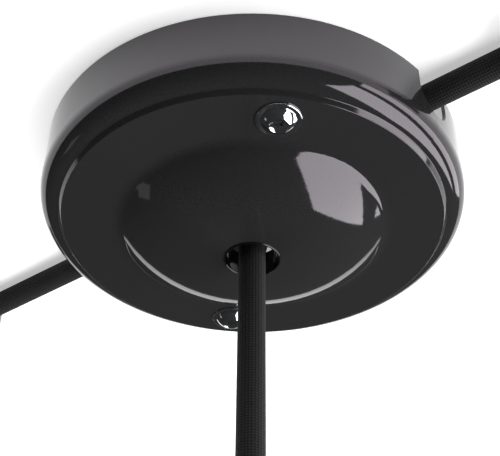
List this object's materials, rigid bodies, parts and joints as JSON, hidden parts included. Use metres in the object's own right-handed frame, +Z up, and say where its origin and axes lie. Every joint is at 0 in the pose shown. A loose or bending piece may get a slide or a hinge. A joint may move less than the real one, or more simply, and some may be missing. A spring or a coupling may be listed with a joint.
{
  "type": "ceiling rose",
  "caption": "Round black ceiling rose with a low dome, side cords out of notches in its wall and one cord hanging from the middle",
  "frame": {"origin": "centre of the ceiling plane, midway between the two fixing holes of the mounting plate", "axes": "+Z up into the ceiling, +X along the shorter side cord; the cover's screws lie on the diagonal in the XY plane"},
  "size_m": [0.241, 0.12, 0.122],
  "materials": {
    "cover_enamel": "glossy black enamel",
    "anchor_enamel": "glossy black enamel",
    "zinc_plate": "zinc-plated, satin",
    "zinc_saddle": "zinc-plated, satin",
    "steel_screw": "zinc-plated, bright",
    "chrome_screw": "polished",
    "black_plastic": "moulded, smooth",
    "white_plastic": "moulded, satin",
    "brass": "turned and stamped",
    "cord_braid": "woven black textile",
    "blue_insulation": "smooth",
    "brown_insulation": "smooth",
    "ferrule_tin": "tinned, with a moulded collar"
  },
  "bodies": {
    "root": {"block_screw_1": "steel_screw", "block_screw_2": "steel_screw", "bush_nut": "black_plastic", "centre_cord": "cord_braid", "centre_cord_saddle": "zinc_saddle", "centre_line_wire": "brown_insulation", "centre_neutral_wire": "blue_insulation", "centre_saddle_screw_1": "steel_screw", "centre_saddle_screw_2": "steel_screw", "cord_bush": "black_plastic", "earth_screw": "brass", "earth_washer": "brass", "front_cover_screw": "chrome_screw", "front_screw_washer": "chrome_screw", "left_cord": "cord_braid", "left_cord_anchor": "anchor_enamel", "left_cord_saddle": "zinc_saddle", "left_line_wire": "brown_insulation", "left_neutral_wire": "blue_insulation", "left_saddle_screw_1": "steel_screw", "left_saddle_screw_2": "steel_screw", "line_bar": "brass", "mounting_plate": "zinc_plate", "neutral_bar": "brass", "rear_cover_screw": "chrome_screw", "rear_screw_washer": "chrome_screw", "right_cord": "cord_braid", "right_cord_anchor": "anchor_enamel", "right_cord_saddle": "zinc_saddle", "right_line_wire": "brown_insulation", "right_neutral_wire": "blue_insulation", "right_saddle_screw_1": "steel_screw", "right_saddle_screw_2": "steel_screw", "rose_cover": "cover_enamel", "tail_line_core": "brown_insulation", "tail_line_ferrule": "ferrule_tin", "tail_neutral_core": "blue_insulation", "tail_neutral_ferrule": "ferrule_tin", "terminal_block": "white_plastic", "terminal_screw_1": "brass", "terminal_screw_2": "brass", "terminal_screw_3": "brass", "terminal_screw_4": "brass", "terminal_screw_5": "brass", "terminal_screw_6": "brass"}
  },
  "joints": []
}
